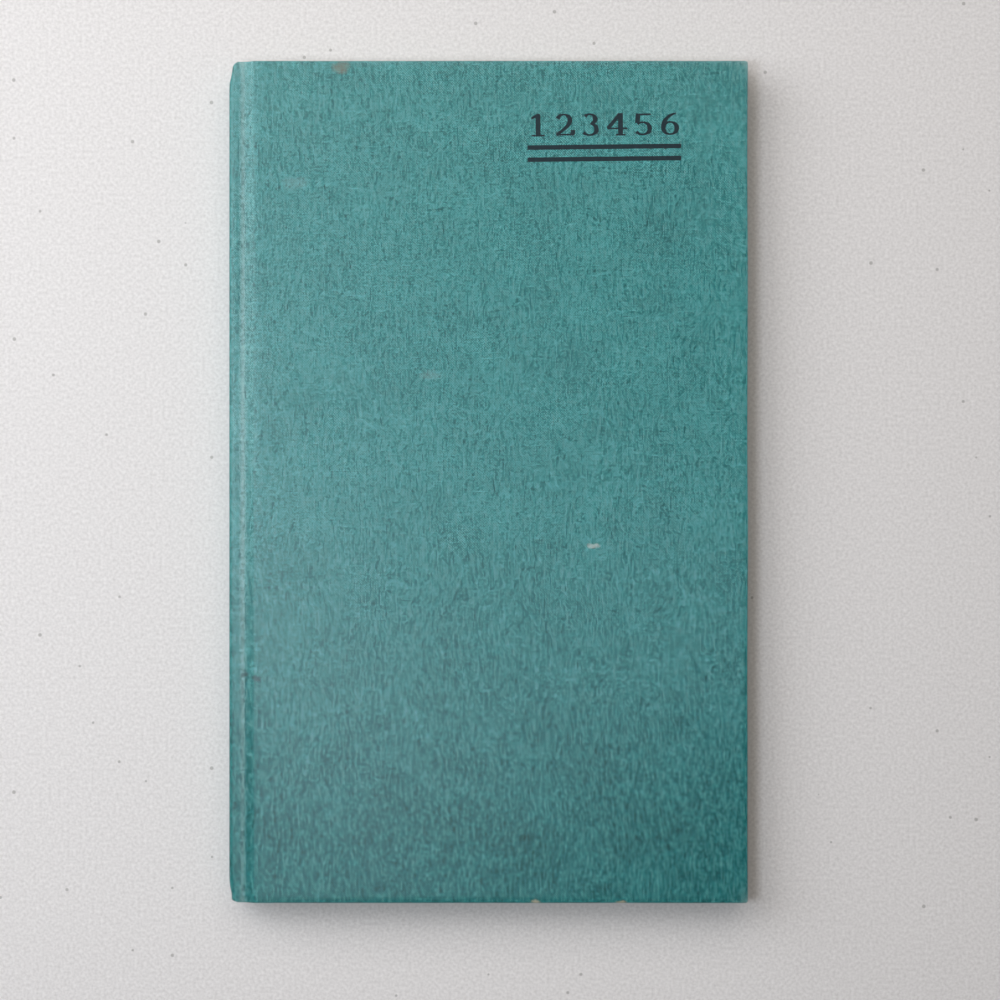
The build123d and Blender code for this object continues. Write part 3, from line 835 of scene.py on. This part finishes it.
def pasted_depth(x, y):
    """How far below the board's face the pastedown lies, from the layers under it."""
    inner_x, inner_y = (edge - turn_in - SOFT - PASTE_GRID for edge in (fore_x, half_height))
    turned = 1 - inside(x, -1.0, inner_x) * inside(y, -inner_y, inner_y)
    gauze = inside(x, -1.0, flange_high.x) * inside(y, flange_low.y, flange_high.y)
    tapes = sum(inside(y, row - TAPE_WIDTH / 2, row + TAPE_WIDTH / 2) for row in tape_rows)
    layered = gauze * flange_depth + inside(x, -1.0, slip_high.x) * tapes * slip_depth
    at_joint = 1 - smooth_step(board_low.x - 0.5 * MM, board_low.x + 2.5 * MM, x)
    return max(turned * turn_in_depth, layered, at_joint * turn_in_depth)


def pastedown(name, node, at_front):
    low, high = Vector(paste_low), Vector(paste_high)
    low.x = JOINT_START
    bm = paper_grid(low, high, PASTE_GRID)
    for vert in bm.verts:
        crinkle = noise.noise(Vector((vert.co.x * 60, vert.co.y * 40, 2.0))) * 0.02 * MM
        vert.co.z = board_low.z - pasted_depth(vert.co.x, vert.co.y) - PASTE_THICKNESS * 0.55 + crinkle
        if not at_front:
            vert.co.z = 2 * middle_z - vert.co.z
    piece = finish_paper(bm, name, endpaper_material, PASTE_THICKNESS)
    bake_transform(piece)
    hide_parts(node)
    print(name, len(piece.data.polygons), "faces")


pastedown("front_pastedown_paper", "front_pastedown", True)
pastedown("back_pastedown_paper", "back_pastedown", False)

# %% [markdown]
# ## Materials for the layers under the cloth
# These nodes keep the engineering model's shape, and get their own finishes: grey pulp board, open
# gauze, woven tape, twisted linen thread, brown kraft paper and striped head bands.  They are mostly
# hidden, so three patterns are enough: flecked, woven and striped, each at a likely pitch.

# %% Materials of the hidden layers
def fibre_board(name, dark, light, grain):
    """Pressed waste-paper board or kraft paper: flecked, with no direction."""
    material, tree, shader = start_material(name, roughness=0.85, specular=0.25)
    place = add(tree, "ShaderNodeTexCoord").outputs["Object"]
    pulp = add(tree, "ShaderNodeTexNoise", {"Vector": place, "Scale": grain, "Detail": 6.0,
               "Roughness": 0.7})
    fleck = add(tree, "ShaderNodeTexVoronoi", {"Vector": place, "Scale": grain / 2})
    both = add(tree, "ShaderNodeMath", {0: fleck.outputs["Distance"], 1: 0.25, 2: pulp.outputs["Fac"]},
               operation="MULTIPLY_ADD")
    tone = add(tree, "ShaderNodeMapRange", {0: both.outputs[0], 1: 0.38, 2: 0.85})
    mixed = add(tree, "ShaderNodeMix", {0: tone.outputs[0], 6: colour(dark), 7: colour(light)},
                data_type="RGBA")
    tree.links.new(mixed.outputs[2], shader.inputs["Base Color"])
    bump = add(tree, "ShaderNodeBump", {"Height": pulp.outputs["Fac"], "Strength": 0.4,
               "Distance": 0.1 * MM})
    tree.links.new(bump.outputs[0], shader.inputs["Normal"])
    return material


def woven(name, gap, thread_tint, pitch, open_share):
    """Plain-woven gauze or tape: two sets of threads over a gap colour."""
    material, tree, shader = start_material(name, roughness=0.9, specular=0.2)
    place = add(tree, "ShaderNodeTexCoord").outputs["Object"]
    axes = add(tree, "ShaderNodeSeparateXYZ", {0: place})
    highest = None
    for axis in (0, 1):
        wave = add(tree, "ShaderNodeMath", {0: axes.outputs[axis], 1: pitch / 2}, operation="PINGPONG")
        ridge = add(tree, "ShaderNodeMath", {0: wave.outputs[0], 1: 2 / pitch}, operation="MULTIPLY")
        if highest:
            highest = add(tree, "ShaderNodeMath", {0: highest.outputs[0], 1: ridge.outputs[0]},
                          operation="MAXIMUM")
        else:
            highest = ridge
    fuzz = add(tree, "ShaderNodeTexNoise", {"Vector": place, "Scale": 2.0 / pitch, "Detail": 4.0})
    rough = add(tree, "ShaderNodeMath", {0: fuzz.outputs["Fac"], 1: 0.5, 2: highest.outputs[0]},
                operation="MULTIPLY_ADD")
    cover = add(tree, "ShaderNodeMapRange", {0: rough.outputs[0], 1: open_share, 2: open_share + 0.35})
    mixed = add(tree, "ShaderNodeMix", {0: cover.outputs[0], 6: colour(gap), 7: colour(thread_tint)},
                data_type="RGBA")
    tree.links.new(mixed.outputs[2], shader.inputs["Base Color"])
    bump = add(tree, "ShaderNodeBump", {"Height": rough.outputs[0], "Strength": 0.6, "Distance": 0.12 * MM})
    tree.links.new(bump.outputs[0], shader.inputs["Normal"])
    return material


def striped(name, first, second, pitch, slant):
    """Cord or band whose threads run round it, as slanting stripes."""
    material, tree, shader = start_material(name, roughness=0.75, specular=0.3)
    place = add(tree, "ShaderNodeTexCoord").outputs["Object"]
    turned = add(tree, "ShaderNodeVectorMath", {0: place, 1: slant}, operation="DOT_PRODUCT")
    cells = add(tree, "ShaderNodeMath", {0: turned.outputs["Value"], 1: pitch / 2}, operation="PINGPONG")
    share = add(tree, "ShaderNodeMath", {0: cells.outputs[0], 1: 2 / pitch}, operation="MULTIPLY")
    stripe = add(tree, "ShaderNodeMapRange", {0: share.outputs[0], 1: 0.42, 2: 0.58})
    mixed = add(tree, "ShaderNodeMix", {0: stripe.outputs[0], 6: colour(first), 7: colour(second)},
                data_type="RGBA")
    tree.links.new(mixed.outputs[2], shader.inputs["Base Color"])
    bump = add(tree, "ShaderNodeBump", {"Height": share.outputs[0], "Strength": 0.5, "Distance": 0.08 * MM})
    tree.links.new(bump.outputs[0], shader.inputs["Normal"])
    return material


board_material = fibre_board("grey_millboard", "#7C7870", "#A5A198", 900.0)
kraft_material = fibre_board("kraft_liner_paper", "#8E6E4B", "#B08F66", 1300.0)
gauze_material = woven("starched_gauze", "#A79C86", "#DAD2BF", 1.1 * MM, 0.75)
tape_material = woven("linen_sewing_tape", "#B9AE98", "#DBD2BD", 0.5 * MM, 0.45)
thread_material = striped("linen_sewing_thread", "#C9BFA6", "#E6DFCC", 0.5 * MM, (0.3, 1.0, 0.7))
band_material = striped("striped_head_band", "#2F6B6E", "#E2DCCB", 1.5 * MM, (0.35, 0.0, 1.0))
back_leaf_material = fibre_board("back_endpaper_stock", "#DDD5C0", "#E8E2D2", 1400.0)
layer_materials = {"board": board_material, "inlay": board_material, "liner": kraft_material,
                   "mull": gauze_material, "tape": tape_material, "thread": thread_material,
                   "headband": band_material, "tailband": band_material,
                   "endpaper_fold": back_leaf_material, "back_flyleaf": back_leaf_material}
for name, node in frame["nodes"].items():
    for word, material in layer_materials.items():
        if word in name:
            node.data.materials.clear()
            node.data.materials.append(material)
            break
print(len(layer_materials), "words choose the kept nodes' materials")

# %% [markdown]
# ## Spine card
# The card that stiffens the spine ends short of the head and tail, and the cloth folds over its
# ends.  A cube is scaled to the card's box, and its edges are bevelled, as worn card has no sharp
# corners.

# %% Spine card
CARD_SHORTER = 6.0 * MM
bm = bmesh.new()
bmesh.ops.create_cube(bm, size=1.0)
card_size = inlay_high - inlay_low - Vector((0, 2 * CARD_SHORTER, 0))
bmesh.ops.scale(bm, vec=card_size, verts=bm.verts)
bmesh.ops.translate(bm, vec=(inlay_low + inlay_high) / 2, verts=bm.verts)
long_edges = [e for e in bm.edges if e.calc_length() < 20 * MM]
bmesh.ops.bevel(bm, geom=long_edges, offset=0.25 * MM, offset_type="OFFSET", segments=3, profile=0.5,
                affect="EDGES", material=-1)
spine_card = piece_from(bm, "spine_card", board_material)
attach(spine_card, "text_block")
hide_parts("spine_inlay")
print("spine card", [round(side / MM, 1) for side in card_size], "mm")

# %% [markdown]
# ## Stamping
# The title's rules and figures are pressed into the cloth with a blue-black foil.  Hot stamping
# flattens the weave, so the foil has a little gloss, and the crossings of the threads still show in
# it as pinholes.  A second layer just above the cloth gives a crisp edge that a painted one hasn't.

# %% Foil material
foil_material, tree, shader = start_material("pressed_pigment_foil", roughness=0.55, specular=0.3)
place = add(tree, "ShaderNodeTexCoord").outputs["Object"]
threads = add(tree, "ShaderNodeVectorMath", {0: place, 1: (2 * math.pi / THREAD_PITCH,) * 3},
              operation="MULTIPLY")
axes = add(tree, "ShaderNodeSeparateXYZ", {0: threads.outputs[0]})
warp = add(tree, "ShaderNodeMath", {0: axes.outputs[0]}, operation="SINE")
weft = add(tree, "ShaderNodeMath", {0: axes.outputs[1]}, operation="SINE")
crossing = add(tree, "ShaderNodeMath", {0: warp.outputs[0], 1: weft.outputs[0]}, operation="MULTIPLY")
patchy = add(tree, "ShaderNodeTexNoise", {"Vector": place, "Scale": 900.0, "Detail": 3.0})
holes = add(tree, "ShaderNodeMath", {0: crossing.outputs[0], 1: 0.35, 2: patchy.outputs["Fac"]},
            operation="MULTIPLY_ADD")
show = add(tree, "ShaderNodeMapRange", {0: holes.outputs[0], 1: 0.62, 2: 0.95, 3: 0.0, 4: 0.4})
mixed = add(tree, "ShaderNodeMix", {0: show.outputs[0], 6: colour("#06222A"), 7: colour("#24565A")},
            data_type="RGBA")
tree.links.new(mixed.outputs[2], shader.inputs["Base Color"])
bump = add(tree, "ShaderNodeBump", {"Height": crossing.outputs[0], "Strength": 0.35, "Distance": 0.05 * MM})
tree.links.new(bump.outputs[0], shader.inputs["Normal"])
print("foil has a pinhole pattern of", round(THREAD_PITCH / MM, 2), "mm")

# %% [markdown]
# ## Rules and figures
# The rules are thin bars.  The figures are drawn as a sign writer draws them, with a pen line that
# is broad where it runs up or down and fine where it runs across: an edge as wide as the pen is
# extruded from point to point.  They're plain figures in the place of a heading.

# %% Pen strokes
RULE_LENGTH = 54.5 * MM
RULE_WIDTH = 1.6 * MM
RULE_SPACING = 4.3 * MM
TILT = math.radians(0.65)     # the stamp stands a little askew
FOIL = 0.05 * MM
FIGURE_HEIGHT = 8.0 * MM
FIGURE_WIDTH = 7.7 * MM
BASELINE = RULE_SPACING / 2 + RULE_WIDTH / 2 + 3.1 * MM
BROAD = 0.22                  # pen widths, in figure heights
FINE = 0.075
STROKE_LIFT = 0.0004          # strokes of a figure overlap, so each lies a hair above the last


def line(*points):
    return [Vector(p) for p in points]


def arc(x, y, wide, high, first, last, steps=20):
    """Points along part of an ellipse, between two angles in degrees."""
    angles = [math.radians(first + (last - first) * k / steps) for k in range(steps + 1)]
    return [Vector((x + wide * math.cos(a), y + high * math.sin(a))) for a in angles]


def curve(*control, steps=14):
    """Points along a cubic curve with these four control points."""
    p = [Vector(c) for c in control]
    shares = [k / steps for k in range(steps + 1)]
    return [p[0] * (1 - t) ** 3 + p[1] * 3 * t * (1 - t) ** 2 + p[2] * 3 * t * t * (1 - t) + p[3] * t ** 3
            for t in shares]


def stroke(bm, points, level):
    """One pen line through the points, as a ribbon."""
    for index, here in enumerate(points):
        way = (points[min(index + 1, len(points) - 1)] - points[max(index - 1, 0)]).normalized()
        half = (FINE + (BROAD - FINE) * abs(way.y) ** 1.6) / 2
        ends = [here + Vector((-way.y, way.x)) * half * side for side in (1, -1)]
        if index == 0:
            verts = [bm.verts.new((*end, level)) for end in ends]
            edge = bm.edges.new(verts)
        else:
            grown = bmesh.ops.extrude_edge_only(bm, edges=[edge])["geom"]
            old = verts[0].co.copy()
            verts = sorted((g for g in grown if isinstance(g, bmesh.types.BMVert)),
                           key=lambda v: (v.co - old).length)
            edge = next(g for g in grown if isinstance(g, bmesh.types.BMEdge))
            for vert, end in zip(verts, ends):
                vert.co = (*end, level)


# The figures 1 to 6, each in a box one wide and one high
FIGURES = (
    (line((0.5, 1.0), (0.5, 0.5), (0.5, 0.0)), line((0.2, 0.80), (0.5, 0.96)),
     line((0.2, 0.04), (0.8, 0.04))),
    (arc(0.47, 0.71, 0.29, 0.25, 165, -25) + curve((0.70, 0.55), (0.6, 0.35), (0.3, 0.2), (0.14, 0.05))[1:],
     line((0.12, 0.07), (0.5, 0.07), (0.9, 0.07)), line((0.86, 0.05), (0.90, 0.27))),
    (arc(0.45, 0.75, 0.25, 0.21, 150, -80), arc(0.44, 0.29, 0.32, 0.25, 85, -150)),
    (line((0.65, 1.0), (0.65, 0.5), (0.65, 0.0)), line((0.62, 0.95), (0.06, 0.32)),
     line((0.04, 0.32), (0.96, 0.32)), line((0.42, 0.04), (0.88, 0.04))),
    (line((0.22, 0.93), (0.84, 0.93)), line((0.25, 0.96), (0.21, 0.54)),
     arc(0.45, 0.31, 0.33, 0.27, 135, -150)),
    (arc(0.50, 0.31, 0.31, 0.27, 180, -180, 32), arc(0.86, 0.36, 0.67, 0.60, 97, 185)),
)

print(len(FIGURES), "figures,", sum(len(strokes) for strokes in FIGURES), "strokes")

# %% [markdown]
# ## Heading
# The figures stand on a line above the double rule, spread over its length.  All of it is one flat
# sheet, and it is given the foil's thickness and turned a little, as the stamp was, at the end.

# %% Heading
bm = bmesh.new()
for order, strokes in enumerate(FIGURES):
    figure = bmesh.new()
    for level, points in enumerate(strokes):
        stroke(figure, points, level * STROKE_LIFT)
    bmesh.ops.scale(figure, vec=(FIGURE_WIDTH, FIGURE_HEIGHT, FIGURE_HEIGHT), verts=figure.verts)
    step = (RULE_LENGTH - FIGURE_WIDTH) / (len(FIGURES) - 1)
    bmesh.ops.translate(figure, vec=(order * step - RULE_LENGTH / 2, BASELINE, 0), verts=figure.verts)
    part = bpy.data.meshes.new("figure")
    figure.to_mesh(part)
    figure.free()
    bm.from_mesh(part)
    bpy.data.meshes.remove(part)
for side in (1, -1):
    bar = bmesh.ops.create_grid(bm, x_segments=1, y_segments=1, size=0.5)["verts"]
    bmesh.ops.scale(bm, vec=(RULE_LENGTH, RULE_WIDTH, 1), verts=bar)
    bmesh.ops.translate(bm, vec=(0, side * RULE_SPACING / 2, 0), verts=bar)
bmesh.ops.recalc_face_normals(bm, faces=bm.faces)
bm.normal_update()
bmesh.ops.reverse_faces(bm, faces=[face for face in bm.faces if face.normal.z < 0])
bmesh.ops.rotate(bm, cent=(0, 0, 0), matrix=Matrix.Rotation(TILT, 3, "Z"), verts=bm.verts)
bmesh.ops.translate(bm, vec=(title_centre.x, title_centre.y, top_z), verts=bm.verts)
heading = give_thickness(piece_from(bm, "stamped_heading", foil_material), FOIL, 0.6)
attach(heading, "front_cover")
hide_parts("title_rules")
print("heading", len(heading.data.polygons), "faces")
